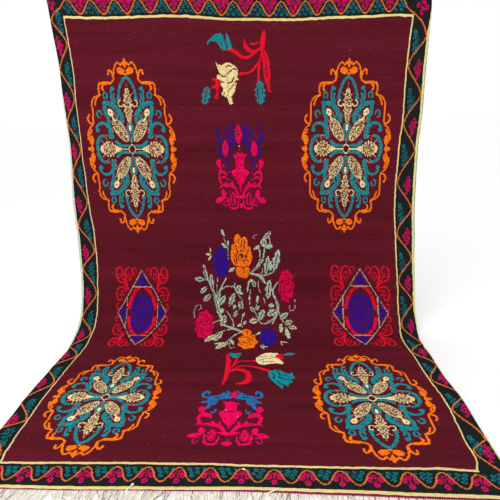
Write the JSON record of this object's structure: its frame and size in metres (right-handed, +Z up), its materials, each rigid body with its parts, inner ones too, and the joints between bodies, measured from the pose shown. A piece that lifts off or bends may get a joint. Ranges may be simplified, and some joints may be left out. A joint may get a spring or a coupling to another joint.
{
  "type": "moroccan rug",
  "caption": "Flatwoven rug with a patterned field and border, held at its upper edge, leaning back and sweeping forward over the floor, with a fringed lower end.",
  "frame": {"origin": "middle of the rug's upper edge, on its face", "axes": "+X to the right across the rug as it is faced, +Z up, -Y towards the viewer and along the part that lies on the floor"},
  "size_m": [1.8156, 1.5417, 1.7358],
  "materials": {
    "woven_wool": "matte flatwoven wool, maroon field with a black border and coloured pattern",
    "warp_fringe": "matte plied warp yarn, off-white"
  },
  "bodies": {
    "root": {"rug_cloth": "woven_wool", "end_fringe": "warp_fringe"}
  },
  "joints": []
}
